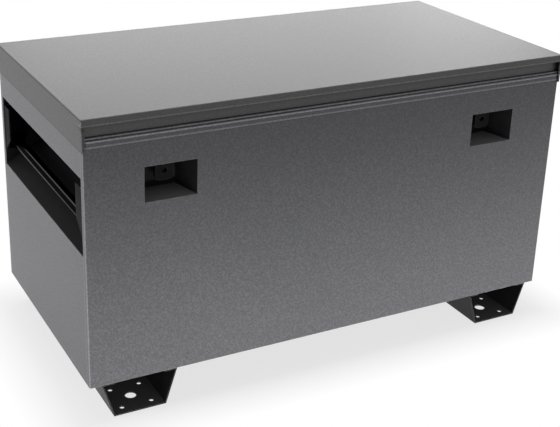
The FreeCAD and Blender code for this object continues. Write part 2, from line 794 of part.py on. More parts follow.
def make_lid_skirt(name, sign):
    """Side of the lid: a deep leg, a flange under the top sheet and a wrap round the front corner."""
    body = new_body(f"{name}_lid_skirt")
    bottom = lid_edge - dim.skirt_drop
    lip = lid_top - dim.lid_lip
    outer = sign * lid_side
    inner = sign * (lid_side - sheet)
    flange = sign * (lid_side - dim.skirt_flange)
    wrap_end = lid_front + dim.front_overhang
    section = [
        (outer, bottom),
        (outer, lid_under),
        (flange, lid_under),
        (flange, lid_under - sheet),
        (inner, lid_under - sheet),
        (inner, bottom),
    ]
    flange_end = back_inside - inner_bend
    prism(body, "XZ", wrap_end, flange_end, [section])
    round_edges(body, dim.skirt_bend, runs_through("Y", [(outer, lid_under)]))
    round_edges(body, dim.skirt_bend - sheet, runs_through("Y", [(inner, lid_under - sheet)]))
    leg_top = lid_under - dim.skirt_bend
    prism(body, "XZ", lid_front + sheet, wrap_end, [rectangle(outer, inner, lip, leg_top)])
    prism(body, "XZ", flange_end, back_inside, [rectangle(outer, inner, bottom, leg_top)])
    return_edge = sign * (lid_side - dim.skirt_return)
    wrap = [
        (outer, wrap_end),
        (outer, lid_front),
        (return_edge, lid_front),
        (return_edge, lid_front + sheet),
        (inner, lid_front + sheet),
        (inner, wrap_end),
    ]
    prism(body, "XY", bottom, lip, [wrap])
    round_edges(body, dim.corner_bend, runs_through("Z", [(outer, lid_front)]))


def make_lid_front_rail():
    """Channel behind the front lip, whose face shows below it."""
    body = new_body("lid_front_rail")
    face = lid_front + dim.front_rail_setback
    rear = face + dim.front_rail_leg
    half = lid_side - dim.skirt_bend
    under_flange = lid_under - sheet
    web = [
        (face, lid_edge),
        (face, under_flange),
        (face + sheet, under_flange),
        (face + sheet, lid_edge + sheet),
        (rear, lid_edge + sheet),
        (rear, lid_edge),
    ]
    prism(body, "YZ", -half, half, [web])
    between_skirts = lid_side - dim.skirt_flange
    leg = rectangle(face, rear, under_flange, lid_under)
    prism(body, "YZ", -between_skirts, between_skirts, [leg])


def make_lid_stiffener(label, setback):
    """Hat channel along the underside of the lid."""
    body = new_body(label)
    middle = front + setback
    half = dim.stiffener_width / 2
    crown = half - dim.stiffener_flange
    low = lid_under - dim.stiffener_drop
    section = [
        (middle - half, lid_under),
        (middle - half, lid_under - sheet),
        (middle - crown, lid_under - sheet),
        (middle - crown, low),
        (middle + crown, low),
        (middle + crown, lid_under - sheet),
        (middle + half, lid_under - sheet),
        (middle + half, lid_under),
        (middle + crown - sheet, lid_under),
        (middle + crown - sheet, low + sheet),
        (middle - crown + sheet, low + sheet),
        (middle - crown + sheet, lid_under),
    ]
    prism(body, "YZ", -dim.stiffener_length / 2, dim.stiffener_length / 2, [section])


# ---------------------------------------------------------------- hinge

def how_many(room, pitch):
    """How many whole pitches fit into the room."""
    return math.floor(value(room) / value(pitch))


# An odd count, so that both ends of the hinge are knuckles of the body's leaf.
knuckle_pairs = how_many(dim.box_width - 2 * dim.hinge_inset - dim.knuckle_length, 2 * dim.knuckle_length)
knuckle_count = 2 * knuckle_pairs + 1
hinge_length = knuckle_count * dim.knuckle_length
hinge_start = -hinge_length / 2
rivet_count = how_many(hinge_length - 2 * dim.rivet_inset, dim.rivet_pitch) + 1


def rivet_xs():
    """Where the rivets lie along the hinge."""
    return [(i - (rivet_count - 1) / 2) * dim.rivet_pitch for i in range(rivet_count)]


def rivet_circles(z, radius=None):
    """The circles of one row of hinge rivets, or of their holes."""
    wide = dim.rivet_shank / 2 + dim.weld_fit if radius is None else radius
    return [(x, z, wide) for x in rivet_xs()]


def make_hinge_leaf(label, turn_way, first_knuckle):
    """A leaf on the outside of the back, with every other knuckle rolled round the pin."""
    body = new_body(label)
    outer = back + dim.hinge_sheet
    clear = dim.knuckle / 2 + dim.free_gap
    z_near = hinge_z + turn_way * clear
    z_far = hinge_z + turn_way * dim.leaf_height
    plate = rectangle(back, outer, *ordered(z_near, z_far))
    prism(body, "YZ", hinge_start, -hinge_start, [plate])
    tab = rectangle(back, outer, *ordered(hinge_z, z_near))
    prism(body, "YZ", hinge_start, -hinge_start, [tab])
    barrel = [(hinge_y, hinge_z, dim.knuckle / 2)]
    prism(body, "YZ", hinge_start, -hinge_start, circles=barrel)
    gaps = []
    for index in range(1 - first_knuckle, knuckle_count, 2):
        low = hinge_start + index * dim.knuckle_length - dim.free_gap
        high = hinge_start + (index + 1) * dim.knuckle_length + dim.free_gap
        gaps.append(rectangle(low, high, *ordered(hinge_z - turn_way * clear, z_near)))
    prism(body, "XZ", back, back + dim.knuckle, gaps, cut=True)
    bore = [(hinge_y, hinge_z, dim.hinge_pin_size / 2 + dim.running_fit)]
    prism(body, "YZ", hinge_start, -hinge_start, circles=bore, cut=True)
    holes = rivet_circles(hinge_z + turn_way * dim.rivet_line)
    prism(body, "XZ", back, outer, circles=holes, cut=True)


def make_hinge_pin():
    """Pin through all the knuckles."""
    body = new_body("hinge_pin")
    circle = (hinge_y, hinge_z, dim.hinge_pin_size / 2)
    prism(body, "YZ", hinge_start, -hinge_start, circles=[circle])


def make_hinge_rivets(label, turn_way):
    """Rivets through one leaf and the sheet behind it."""
    body = new_body(label)
    z = hinge_z + turn_way * dim.rivet_line
    outer = back + dim.hinge_sheet
    head = rivet_circles(z, dim.rivet_head / 2)
    prism(body, "XZ", outer, outer + dim.rivet_head_thick, circles=head)
    rounding = dim.rivet_head_thick * HEAD_ROUNDING
    round_edges(body, rounding, lies_at("Y", outer + dim.rivet_head_thick))
    shank = rivet_circles(z, dim.rivet_shank / 2)
    prism(body, "XZ", back_inside, outer, circles=shank)
    tail = rivet_circles(z, dim.rivet_tail / 2)
    prism(body, "XZ", back_inside - dim.rivet_head_thick, back_inside, circles=tail)


# ---------------------------------------------------------------- gas struts

strut_x = side - dim.strut_inset
plate_x = strut_x + dim.eye_thick / 2 + dim.stud_reach
lower_y = back - dim.strut_ahead
lower_z = recess_roof + dim.strut_lift
upper_y = hinge_y - dim.strut_arm
upper_z = lid_under - dim.strut_drop
neck_gap = dim.stud_head / 2 + dim.free_gap
strut_closed = root(
    (upper_y - lower_y) * (upper_y - lower_y) + (upper_z - lower_z) * (upper_z - lower_z)
)


def place_strut(body):
    """Lays a piece modelled along +Y from its lower pivot onto the closed strut's line."""
    body.Placement = FreeCAD.Placement(
        FreeCAD.Vector(0, 0, 0), FreeCAD.Rotation(FreeCAD.Vector(1, 0, 0), 90)
    )
    body.setExpression("Placement.Base.y", str(lower_y))
    body.setExpression("Placement.Base.z", str(lower_z))
    angle = f"atan2({upper_z - lower_z}; {upper_y - lower_y})"
    body.setExpression("Placement.Rotation.Angle", angle)


def make_strut_cylinder(name, sign):
    """Cylinder of the gas strut, with the eye that turns on the body's stud."""
    body = new_body(f"{name}_strut_cylinder")
    x = sign * strut_x
    nothing = Size(0)
    start = dim.strut_neck
    end = start + dim.strut_tube_length
    outer = dim.strut_tube / 2
    inner = outer - dim.strut_wall
    rod_bore = dim.strut_rod / 2 + dim.running_fit
    cap_start = start + dim.strut_cap
    cap_end = end - dim.strut_cap
    turn(body, "YZ", x, rectangle(start, end, nothing, outer))
    turn(body, "YZ", x, rectangle(neck_gap, start, nothing, dim.eye_neck / 2))
    turn(body, "YZ", x, rectangle(cap_start, cap_end, nothing, inner), cut=True)
    turn(body, "YZ", x, rectangle(cap_end, end, nothing, rod_bore), cut=True)
    eye = [(nothing, nothing, dim.eye_size / 2)]
    half = dim.eye_thick / 2
    prism(body, "YZ", x - half, x + half, circles=eye)
    bore = [(nothing, nothing, dim.stud_size / 2 + dim.running_fit)]
    prism(body, "YZ", x - half, x + half, circles=bore, cut=True)
    place_strut(body)


def make_strut_rod(name, sign):
    """Rod of the gas strut, with its piston, its upper eye and the stud towards the lid's bracket."""
    body = new_body(f"{name}_strut_rod")
    x = sign * strut_x
    nothing = Size(0)
    piston = dim.strut_neck + dim.strut_cap + dim.piston_length
    piston_radius = dim.strut_tube / 2 - dim.strut_wall - dim.free_gap
    neck = strut_closed - dim.strut_neck
    turn(body, "YZ", x, rectangle(piston, strut_closed, nothing, dim.strut_rod / 2))
    turn(body, "YZ", x, rectangle(piston, piston + dim.piston_length, nothing, piston_radius))
    turn(body, "YZ", x, rectangle(neck, strut_closed - neck_gap, nothing, dim.eye_neck / 2))
    half = dim.eye_thick / 2
    eye = [(strut_closed, nothing, dim.eye_size / 2)]
    prism(body, "YZ", x - half, x + half, circles=eye)
    stud = [(strut_closed, nothing, dim.stud_size / 2)]
    stud_end = sign * (plate_x - dim.free_gap)
    prism(body, "YZ", *ordered(x, stud_end), circles=stud)
    place_strut(body)


def plate_rivet_places():
    """Where the rivets of a body bracket's foot lie, on the right end of the box."""
    x = plate_x + dim.plate_sheet + (dim.plate_foot - dim.plate_sheet) / 2
    return [(x, lower_y + step * dim.plate_rivet) for step in ENDS]


def make_strut_body_bracket(name, sign):
    """Angle on the handle recess, with the headed stud that the cylinder turns on."""
    body = new_body(f"{name}_strut_body_bracket")
    half = dim.plate_width / 2
    plate_back = plate_x + dim.plate_sheet
    foot_edge = plate_x + dim.plate_foot
    foot_top = recess_roof + dim.plate_sheet
    section = [
        (sign * plate_x, recess_roof),
        (sign * plate_x, lower_z + dim.plate_edge),
        (sign * plate_back, lower_z + dim.plate_edge),
        (sign * plate_back, foot_top),
        (sign * foot_edge, foot_top),
        (sign * foot_edge, recess_roof),
    ]
    prism(body, "XZ", lower_y - half, lower_y + half, [section])
    tops = [(y, lower_z + dim.plate_edge) for y in (lower_y - half, lower_y + half)]
    round_edges(body, dim.plate_edge, runs_through("X", tops))
    inner_face = strut_x - dim.eye_thick / 2 - dim.free_gap
    head_end = inner_face - dim.plate_sheet
    stud = [(lower_y, lower_z, dim.stud_size / 2)]
    prism(body, "YZ", *ordered(sign * inner_face, sign * plate_x), circles=stud)
    head = [(lower_y, lower_z, dim.stud_head / 2)]
    prism(body, "YZ", *ordered(sign * head_end, sign * inner_face), circles=head)
    holes = [(sign * x, y, dim.rivet_shank / 2 + dim.weld_fit) for x, y in plate_rivet_places()]
    prism(body, "XY", recess_roof, foot_top, circles=holes, cut=True)


def make_strut_lid_bracket(name, sign):
    """Angle under the lid, whose plate stands beside the rod's stud."""
    body = new_body(f"{name}_strut_lid_bracket")
    half = dim.plate_width / 2
    plate_back = plate_x + dim.plate_sheet
    foot_edge = plate_x + dim.plate_foot
    low = upper_z - dim.plate_edge
    foot = lid_under - dim.plate_sheet
    section = [
        (sign * plate_x, lid_under),
        (sign * plate_x, low),
        (sign * plate_back, low),
        (sign * plate_back, foot),
        (sign * foot_edge, foot),
        (sign * foot_edge, lid_under),
    ]
    prism(body, "XZ", upper_y - half, upper_y + half, [section])
    bottoms = [(y, low) for y in (upper_y - half, upper_y + half)]
    round_edges(body, dim.plate_edge, runs_through("X", bottoms))


def make_strut_rivets():
    """Rivets that hold the two body brackets to the handle recesses."""
    body = new_body("strut_bracket_rivets")
    places = [(sign * x, y) for _, sign in SIDES for x, y in plate_rivet_places()]
    foot_top = recess_roof + dim.plate_sheet
    head = [(x, y, dim.rivet_head / 2) for x, y in places]
    prism(body, "XY", foot_top, foot_top + dim.rivet_head_thick, circles=head)
    shank = [(x, y, dim.rivet_shank / 2) for x, y in places]
    prism(body, "XY", recess_roof - sheet, foot_top, circles=shank)
    tail = [(x, y, dim.rivet_tail / 2) for x, y in places]
    roof_inside = recess_roof - sheet
    prism(body, "XY", roof_inside - dim.rivet_head_thick, roof_inside, circles=tail)


# ---------------------------------------------------------------- the whole box

def make_box():
    """Every piece of the box."""
    make_floor()
    make_front_panel()
    make_back_panel()
    make_front_header()
    make_rim_rails()
    make_rim_seal()
    for name, sign in SIDES:
        make_end_sheets(name, sign)
        make_handle_recess(name, sign)
        make_handle_tube(name, sign)
        make_handle_brackets(name, sign)
        make_handle_collars(name, sign)
        make_lock_pocket(name, sign)
        make_lock_staple(name, sign)
        make_lock_tongue(name, sign)
        make_skid(name, sign)
        make_lid_skirt(name, sign)
        make_strut_cylinder(name, sign)
        make_strut_rod(name, sign)
        make_strut_body_bracket(name, sign)
        make_strut_lid_bracket(name, sign)
    make_skid_bolts()
    make_skid_nuts()
    make_lid_panel()
    make_lid_front_rail()
    make_lid_stiffener("lid_stiffener_front", dim.stiffener_front)
    make_lid_stiffener("lid_stiffener_rear", dim.stiffener_rear)
    make_hinge_leaf("hinge_body_leaf", -1, 0)
    make_hinge_leaf("hinge_lid_leaf", 1, 1)
    make_hinge_pin()
    make_hinge_rivets("hinge_body_rivets", -1)
    make_hinge_rivets("hinge_lid_rivets", 1)
    make_strut_rivets()


def check_document():
    """Stops if an object failed, a shape is bad or a cut removed nothing."""
    cuts = ("PartDesign::Pocket", "PartDesign::Groove", "PartDesign::SubtractiveLoft")
    for item in doc.Objects:
        if "Invalid" in item.State or "Error" in item.State:
            raise RuntimeError(f"{item.Name} failed: {item.State}")
        if item.TypeId in cuts and item.Shape.Volume >= item.BaseFeature.Shape.Volume:
            raise RuntimeError(f"{item.Name} cuts nothing")


def write_parts():
    """Writes each body to a file that has its label."""
    bodies = [item for item in doc.Objects if item.TypeId == "PartDesign::Body"]
    for body in bodies:
        if body.Shape.isNull() or not body.Shape.isValid():
            raise RuntimeError(f"{body.Label} has no valid shape")
    os.makedirs(PARTS_FOLDER, exist_ok=True)
    for body in bodies:
        body.Shape.exportStep(f"{PARTS_FOLDER}/{body.Label}.step")
        print(f"{body.Label}: {len(body.Shape.Solids)} solids, {body.Shape.Volume:.0f} mm3")


make_box()
doc.recompute()
check_document()
write_parts()
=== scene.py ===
"""Jobsite storage box: paint, plating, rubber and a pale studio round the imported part.

Everything is in metres, in the part's own frame: +X along the box, +Y to its back, +Z up.
"""

import json
import math

import bmesh
import bpy
from mathutils import Matrix, Vector

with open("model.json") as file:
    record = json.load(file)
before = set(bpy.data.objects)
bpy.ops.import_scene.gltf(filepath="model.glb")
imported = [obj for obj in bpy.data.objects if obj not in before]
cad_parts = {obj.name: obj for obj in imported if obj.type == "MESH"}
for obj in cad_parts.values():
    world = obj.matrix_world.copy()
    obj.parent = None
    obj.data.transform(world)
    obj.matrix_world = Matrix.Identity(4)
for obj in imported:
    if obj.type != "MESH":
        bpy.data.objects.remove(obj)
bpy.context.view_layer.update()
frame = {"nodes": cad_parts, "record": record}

nodes = frame["nodes"]
scene = bpy.context.scene
MM = 0.001

# ---------------------------------------------------------------- camera

# Where the camera stands, and the direction it looks from, in degrees.
CAMERA_PLACE = Vector((-1.2704, -2.305, 1.4319))
CAMERA_AZIMUTH = -27.794
CAMERA_ELEVATION = 21.139
CAMERA_ROLL = 1.553
# The picture, its focal length and the point where the camera's axis meets it, in pixels.
FRAME_WIDTH = 560
FRAME_HEIGHT = 427
FOCAL_PIXELS = 1129.0
AXIS_PIXEL = (257.2, 157.5)
# Blender's own sensor width, in millimetres.
SENSOR_WIDTH = 36


def camera_rotation(azimuth, elevation, roll):
    """Rotation of a camera that looks from an azimuth and elevation, rolled about its own axis."""
    a, e, r = (math.radians(angle) for angle in (azimuth, elevation, roll))
    back = Vector((math.sin(a) * math.cos(e), -math.cos(a) * math.cos(e), math.sin(e)))
    level = Vector((0, 0, 1)).cross(back).normalized()
    upright = back.cross(level)
    right = math.cos(r) * level + math.sin(r) * upright
    up = math.cos(r) * upright - math.sin(r) * level
    return Matrix((right, up, back)).transposed()


def make_camera():
    """The camera, at the viewing angle of the reference view."""
    data = bpy.data.cameras.new("camera")
    camera = bpy.data.objects.new("camera", data)
    scene.collection.objects.link(camera)
    turned = camera_rotation(CAMERA_AZIMUTH, CAMERA_ELEVATION, CAMERA_ROLL)
    camera.matrix_world = Matrix.Translation(CAMERA_PLACE) @ turned.to_4x4()
    data.sensor_width = SENSOR_WIDTH
    data.lens = FOCAL_PIXELS * SENSOR_WIDTH / FRAME_WIDTH
    data.shift_x = (FRAME_WIDTH / 2 - AXIS_PIXEL[0]) / FRAME_WIDTH
    data.shift_y = (AXIS_PIXEL[1] - FRAME_HEIGHT / 2) / FRAME_WIDTH
    scene.camera = camera


# ---------------------------------------------------------------- shader helpers

# Samples of the edge wear and painted highlight, of softened edges and of the painted shade in creases.
EDGE_SAMPLES = 6
SOFTENING_SAMPLES = 4
CREASE_SAMPLES = 8
# Cosines of the turn between a rounded edge and the flat surface: where edge wear and painted highlight are
# full, and where they end.
EDGE_TURN = (0.8, 0.99)
# Upward part of a surface's direction where the painted top light starts, and where it covers all.
TOP_LIGHT_TILT = (0.5, 0.9)


class Shader:
    """The node tree of a material or a world, built one node at a time."""

    def __init__(self, owner):
        self.owner = owner
        owner.use_nodes = True
        self.tree = owner.node_tree
        self.tree.nodes.clear()

    def add(self, kind, settings=None, **inputs):
        """A node with its settings, and a value or link for each named input."""
        made = self.tree.nodes.new(kind)
        for key, value in (settings or {}).items():
            setattr(made, key, value)
        for key, value in inputs.items():
            self.feed(made, key.replace("_", " "), value)
        return made

    def feed(self, made, key, value):
        """Sets one input, by name or number, to a number, a colour or another node's output."""
        if isinstance(key, int):
            target = made.inputs[key]
        else:
            target = next(socket for socket in made.inputs if socket.name == key and socket.enabled)
        if isinstance(value, bpy.types.NodeSocket):
            self.tree.links.new(value, target)
        else:
            target.default_value = value

    def place(self):
        """Position in the part's own frame, which moves with the piece."""
        return self.add("ShaderNodeTexCoord").outputs["Object"]

    def facing(self):
        """Direction of the surface in the part's own frame, which moves with the piece."""
        return self.add("ShaderNodeTexCoord").outputs["Normal"]

    def axes(self, vector):
        """A vector's three parts, by name."""
        return self.add("ShaderNodeSeparateXYZ", Vector=vector).outputs

    def noise(self, scale, detail=2.0, roughness=0.5):
        """Noise with a number of cells to the metre."""
        made = self.add(
            "ShaderNodeTexNoise",
            Vector=self.place(), Scale=scale, Detail=detail, Roughness=roughness,
        )
        return made.outputs["Fac"]

    def cells(self, scale, smooth=0.6):
        """Rounded cells, dark in the middle, with a number of them to the metre."""
        made = self.add(
            "ShaderNodeTexVoronoi",
            {"feature": "SMOOTH_F1"},
            Vector=self.place(), Scale=scale, Smoothness=smooth,
        )
        return made.outputs["Distance"]

    def spread(self, value, low, high, to_low=0.0, to_high=1.0):
        """A value's range stretched to another range."""
        made = self.add("ShaderNodeMapRange", Value=value)
        ends = (("From Min", low), ("From Max", high), ("To Min", to_low), ("To Max", to_high))
        for key, number in ends:
            self.feed(made, key, number)
        return made.outputs["Result"]

    def between(self, share, at_none, at_all):
        """A value that goes from one number to another as a share goes from 0 to 1."""
        return self.spread(share, 0.0, 1.0, at_none, at_all)

    def join(self, kind, *values):
        """Values put together by a sum, a comparison or other operation."""
        made = self.add("ShaderNodeMath", {"operation": kind})
        for index, value in enumerate(values):
            self.feed(made, index, value)
        return made.outputs[0]

    def both(self, first, second):
        """The product of two values."""
        return self.join("MULTIPLY", first, second)

    def larger(self, first, second):
        """The larger one of two values."""
        return self.join("MAXIMUM", first, second)

    def vector(self, kind, first, second=None):
        """The outputs of a vector's operation: its vector and its number."""
        made = self.add("ShaderNodeVectorMath", {"operation": kind})
        self.feed(made, 0, first)
        if second is not None:
            self.feed(made, 1, second)
        return made.outputs

    def blend(self, share, first, second, mode="MIX"):
        """Two colours mixed by a share."""
        settings = {"data_type": "RGBA", "blend_type": mode}
        made = self.add("ShaderNodeMix", settings, Factor=share, A=first, B=second)
        return next(socket for socket in made.outputs if socket.enabled)

    def scale(self, colour, factor):
        """A colour times a value."""
        tone = self.add("ShaderNodeCombineColor", Red=factor, Green=factor, Blue=factor)
        return self.blend(1.0, colour, tone.outputs["Color"], mode="MULTIPLY")

    def wear_and_highlight_edge(self, radius):
        """A share that is 1 on sharp edges and falls to 0 at a distance from them: where edges are worn and
        carry painted highlights.
        """
        rounded = self.add("ShaderNodeBevel", {"samples": EDGE_SAMPLES}, Radius=radius)
        flat = self.add("ShaderNodeNewGeometry").outputs["Normal"]
        turn = self.vector("DOT_PRODUCT", rounded.outputs["Normal"], flat)["Value"]
        return self.spread(turn, *EDGE_TURN, 1.0, 0.0)

    def upward(self):
        """A share that is 1 where the piece's own surface faces up."""
        return self.spread(self.axes(self.facing())["Z"], *TOP_LIGHT_TILT)

    def bump(self, height, distance, strength, edge=0.0):
        """A bumped normal, over edges softened to a radius."""
        made = self.add("ShaderNodeBump", Strength=strength, Distance=distance, Height=height)
        if edge:
            softened = self.add("ShaderNodeBevel", {"samples": SOFTENING_SAMPLES}, Radius=edge)
            self.feed(made, "Normal", softened.outputs["Normal"])
        return made.outputs["Normal"]

    def seen(self):
        """A share that is 1 to the camera and to glossy and clear surfaces, and 0 to all other light."""
        paths = self.add("ShaderNodeLightPath").outputs
        share = self.larger(paths["Is Camera Ray"], paths["Is Glossy Ray"])
        return self.larger(share, paths["Is Transmission Ray"])

    def finish(self, **inputs):
        """The material, with one surface of these inputs."""
        surface = self.add("ShaderNodeBsdfPrincipled", **inputs)
        self.feed(self.add("ShaderNodeOutputMaterial"), "Surface", surface.outputs[0])
        return self.owner

    def finish_mixed(self, output, share, first, second):
        """Two shaders mixed by a share, connected to a new output of a kind."""
        mixed = self.add("ShaderNodeMixShader")
        for index, value in enumerate((share, first.outputs[0], second.outputs[0])):
            self.feed(mixed, index, value)
        self.feed(self.add(output), "Surface", mixed.outputs[0])


def new_material(name):
    """The shader of a new material."""
    return Shader(bpy.data.materials.new(name))


def grey(level, tint=1.0):
    """A grey of one linear level, with its blue scaled by a tint."""
    return (level, level, level * tint, 1.0)


# ---------------------------------------------------------------- finishes

# Where most values of a noise lie.
NOISE_RANGE = (0.3, 0.7)
# How far edge wear and painted highlight reach from a sharp edge.
WEAR_HIGHLIGHT_RADIUS = 1.6 * MM

# Linear levels of the hammertone coat, and of its darkest and lightest flecks as shares of them.
BODY_LEVEL = 0.131
LID_LEVEL = 0.076
FLECK_LEVELS = (0.62, 1.44)
# How the coat's level drifts over the piece, and how much lighter it is on worn edges and under its painted
# highlights.
DRIFT_LEVELS = (0.97, 1.03)
EDGE_HIGHLIGHT_GAIN = 3.4
# Dimples and flecks to the metre, the dimples' depth, and how far edges look rounded.
DIMPLES = 230
FLECKS = 520
DIMPLE_DEPTH = 0.3 * MM
PAINT_EDGE = 0.7 * MM
PAINT_ROUGHNESS = (0.36, 0.48)
# Where the upright front bends begin, from the box's middle in x and in y, and the strength of the painted
# highlight there.
BODY_CORNER = (0.6052, 0.302)
LID_CORNER = (0.6077, 0.3065)
CORNER_HIGHLIGHT = 0.55
# The level front bends: the height of each and the strength of the painted highlight line on it, and their
# half width.
BODY_BENDS = ((0.6528, 0.9), (0.6473, 1.0), (0.6357, 0.6))
LID_BENDS = ((0.6828, 0.45),)
BEND_HALF = 1.8 * MM
# How far before the box's middle the front's painted highlight lines and painted shade begin.
FRONT = 0.29
# Reach of the shade in creases; the openness where it is darkest and where it ends, and its level at both.
CREASE_REACH = 14 * MM
CREASE_SHADE = (0.5, 0.92, 0.15, 1.0)
# The heights between which the shade below the lid's lip grows, the lip's lower edge, and its level.
LIP_SHADOW = (0.667, 0.677)
LIP_BOTTOM = 0.6812
LIP_SHADE = 0.55
# Painted shadow lines on the ends, below the lid's skirt and along the lid's side bend: where each begins
# from the middle in x, its height and its half width.
SKIRT_SHADOW_LINE = (0.6062, 0.6272, 2.9 * MM)
LID_SIDE_BEND = (0.6074, 0.6958, 1.9 * MM)
SHADOW_LINE_LEVEL = 0.15

# Black coats: patches and orange peel to the metre, the levels of the patches, and rubbed edges with a
# painted highlight.
PATCHES = 14
PEEL = 420
PEEL_DEPTH = 0.12 * MM
PATCH_LEVELS = (0.8, 1.25)
PATCH_TINT = 1.04
RUB_HIGHLIGHT_SHARE = 0.7
RUB_HIGHLIGHT_LEVEL = 0.16
# The painted top light lies below this height only.
TOP_LIGHT_CEILING = 0.53

# Tubes: where the painted reflection along the outline begins and is full, and the painted highlight line's
# upward part and half width.
TUBE_RIM_REFLECTION = (0.74, 0.82)
TUBE_HIGHLIGHT_LINE = (0.82, 0.05)
TUBE_HIGHLIGHT_SHARE = 0.2
TUBE_DARK = 0.012
TUBE_BRIGHT = 0.4
TUBE_TINT = 0.45


def wear_highlight_and_painted_shade(s, corner, bends):
    """How worn and highlit the coat is, up to 1, from edge rubbing and painted highlights; and the level of
    its painted shade: 1 where no crease, lip or shadow line shades it.
    """
    place = s.axes(s.place())
    aside = s.join("ABSOLUTE", place["X"])
    # Painted highlight down the upright front corner bends.
    on_corner_highlight = s.both(
        s.join("GREATER_THAN", aside, corner[0]),
        s.join("LESS_THAN", place["Y"], -corner[1]),
    )
    wear_and_highlight = s.larger(s.between(on_corner_highlight, 0.0, CORNER_HIGHLIGHT), s.wear_and_highlight_edge(WEAR_HIGHLIGHT_RADIUS))
    # Painted shade in creases.
    crease = s.add("ShaderNodeAmbientOcclusion", {"samples": CREASE_SAMPLES}, Distance=CREASE_REACH)
    painted_shade_level = s.spread(crease.outputs["AO"], *CREASE_SHADE)
    in_front = s.join("LESS_THAN", place["Y"], -FRONT)
    # Painted shadow below the lid's lip.
    under_lip = s.both(s.spread(place["Z"], *LIP_SHADOW), s.join("LESS_THAN", place["Z"], LIP_BOTTOM))
    painted_shade_level = s.both(painted_shade_level, s.between(s.both(in_front, under_lip), 1.0, LIP_SHADE))
    # Painted highlight lines along the level front bends, kept clear of painted shade.
    for height, highlight_strength in bends:
        on_highlight_band = s.both(in_front, s.join("COMPARE", place["Z"], height, BEND_HALF))
        wear_and_highlight = s.larger(wear_and_highlight, s.between(on_highlight_band, 0.0, highlight_strength))
        painted_shade_level = s.larger(painted_shade_level, on_highlight_band)
    # Painted shadow lines below the lid's skirt and along the lid's side bend.
    for side, height, half in (SKIRT_SHADOW_LINE, LID_SIDE_BEND):
        on_painted_line = s.both(
            s.join("GREATER_THAN", aside, side),
            s.join("COMPARE", place["Z"], height, half),
        )
        painted_shade_level = s.both(painted_shade_level, s.between(on_painted_line, 1.0, SHADOW_LINE_LEVEL))
    return wear_and_highlight, painted_shade_level


def hammered_paint(name, level, tint, gloss, corner, bends):
    """Charcoal hammertone coat: flecks between small dimples, worn edges and the front's bends lightened by
    painted highlights, and painted shade in creases, below the lip and along lines on the ends.
    """
    s = new_material(name)
    dimples = s.cells(DIMPLES)
    flecks = s.noise(FLECKS, detail=3.0, roughness=0.7)
    drift = s.noise(2.5, detail=1.0)
    mottle = s.join("ADD", s.spread(dimples, 0.1, 0.7, 0.0, 0.5), s.spread(flecks, 0.38, 0.68, 0.0, 0.5))
    dark, light = FLECK_LEVELS
    coat = s.blend(mottle, grey(level * dark, tint), grey(level * light, tint))
    wear_and_highlight, painted_shade_level = wear_highlight_and_painted_shade(s, corner, bends)
    # Edge wear and painted highlights lighten the coat, and painted shade darkens it.
    shade = s.both(s.spread(drift, *NOISE_RANGE, *DRIFT_LEVELS), s.between(wear_and_highlight, 1.0, EDGE_HIGHLIGHT_GAIN))
    return s.finish(
        Base_Color=s.scale(coat, s.both(shade, painted_shade_level)),
        Roughness=s.spread(flecks, *NOISE_RANGE, *PAINT_ROUGHNESS),
        Normal=s.bump(dimples, DIMPLE_DEPTH, strength=0.4, edge=PAINT_EDGE),
        Specular_IOR_Level=gloss,
    )


def black_coat(name, level, top_light, rough, gloss):
    """Black coat with fine orange peel, dull patches, edges lightened by rubbing and a painted highlight, and
    painted top light on what faces up low down.
    """
    s = new_material(name)
    peel = s.noise(PEEL)
    patches = s.noise(PATCHES, detail=3.0)
    dark, light = PATCH_LEVELS
    coat = s.blend(s.spread(patches, 0.35, 0.65), grey(level * dark), grey(level * light, PATCH_TINT))
    # Painted top light on what faces up low down.
    low_down = s.join("LESS_THAN", s.axes(s.place())["Z"], TOP_LIGHT_CEILING)
    top_lit = s.blend(s.both(s.upward(), low_down), coat, grey(top_light))
    # Rubbed edges, lightened further by a painted highlight.
    rubbed_and_highlit = s.between(s.wear_and_highlight_edge(WEAR_HIGHLIGHT_RADIUS), 0.0, RUB_HIGHLIGHT_SHARE)
    return s.finish(
        Base_Color=s.blend(rubbed_and_highlit, top_lit, grey(RUB_HIGHLIGHT_LEVEL)),
        Roughness=s.spread(patches, *NOISE_RANGE, *rough),
        Normal=s.bump(peel, PEEL_DEPTH, strength=0.3, edge=0.6 * MM),
        Specular_IOR_Level=gloss,
    )


def gloss_black(name):
    """Gloss black of tubes, collars and strut cylinders: a painted reflection along the silhouette, and a
    pale painted highlight line along the upper side.
    """
    s = new_material(name)
    streaks = s.noise(60, detail=3.0)
    # Painted reflection along the tube's silhouette.
    rim_reflection = s.spread(s.add("ShaderNodeLayerWeight", Blend=0.5).outputs["Facing"], *TUBE_RIM_REFLECTION)
    # Painted highlight line along the tube's upper side.
    on_painted_line = s.join("COMPARE", s.axes(s.facing())["Z"], *TUBE_HIGHLIGHT_LINE)
    bright = s.larger(rim_reflection, s.between(on_painted_line, 0.0, TUBE_HIGHLIGHT_SHARE))
    return s.finish(
        Base_Color=s.blend(bright, grey(TUBE_DARK), grey(TUBE_BRIGHT)),
        Roughness=s.spread(streaks, *NOISE_RANGE, 0.07, 0.13),
        Metallic=1.0,
        Specular_Tint=grey(TUBE_TINT),
    )


def zinc_plate(name):
    """Zinc plating: cool grey metal with a faint spangle and dull patches."""
    s = new_material(name)
    spangle = s.cells(220, smooth=0.2)
    patches = s.noise(60, detail=3.0)
    return s.finish(
        Base_Color=s.blend(s.spread(spangle, 0.1, 0.6), (0.50, 0.51, 0.53, 1), (0.66, 0.66, 0.64, 1)),
        Roughness=s.spread(patches, *NOISE_RANGE, 0.28, 0.46),
        Normal=s.bump(patches, 0.05 * MM, strength=0.3, edge=0.3 * MM),
        Metallic=1.0,
    )


